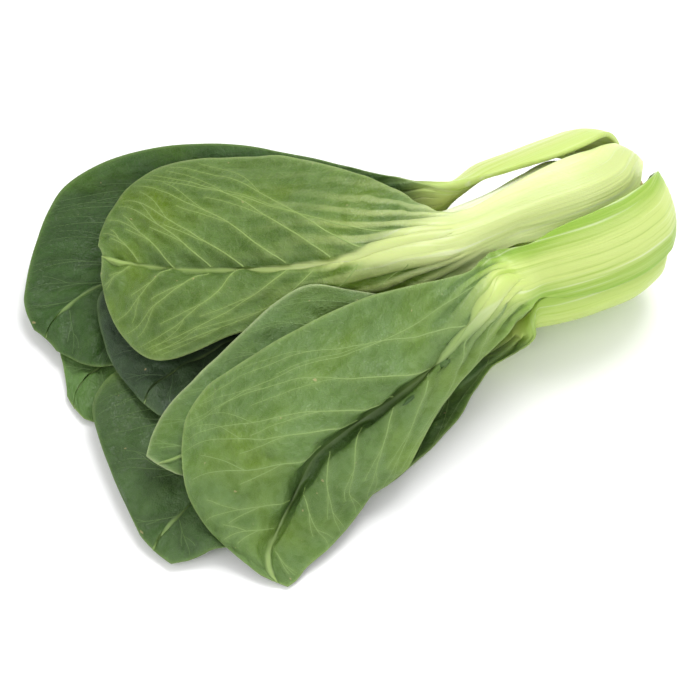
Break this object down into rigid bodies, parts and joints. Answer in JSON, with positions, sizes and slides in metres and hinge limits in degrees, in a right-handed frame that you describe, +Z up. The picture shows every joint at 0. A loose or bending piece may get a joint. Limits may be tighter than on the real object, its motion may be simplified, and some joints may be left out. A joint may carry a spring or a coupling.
{
  "type": "bok choy",
  "caption": "Head of green-stemmed bok choy lying on its side, broad ribbed leaves fanned flat from a bulbous base of thick stalks.",
  "frame": {"origin": "centre of the bounding box's bottom face, on the surface it lies on", "axes": "+Z up, +X towards the butt, leaf tips towards -X"},
  "size_m": [0.2197, 0.1773, 0.063],
  "materials": {
    "stalk": "smooth pale green plant skin",
    "blade": "soft green leaf",
    "cut_core": "cut plant flesh"
  },
  "bodies": {
    "root": {"leaf_top": "blade", "leaf_front": "blade", "leaf_back": "blade", "leaf_under_back": "blade", "leaf_under_front": "blade", "leaf_under_middle": "blade", "inner_leaf_top_back": "blade", "inner_leaf_top_front": "blade", "inner_leaf_back": "blade", "inner_leaf_front": "blade", "heart_leaf_back": "blade", "heart_leaf_front": "blade", "heart_leaf_bottom": "blade", "butt_core": "cut_core"}
  },
  "joints": []
}
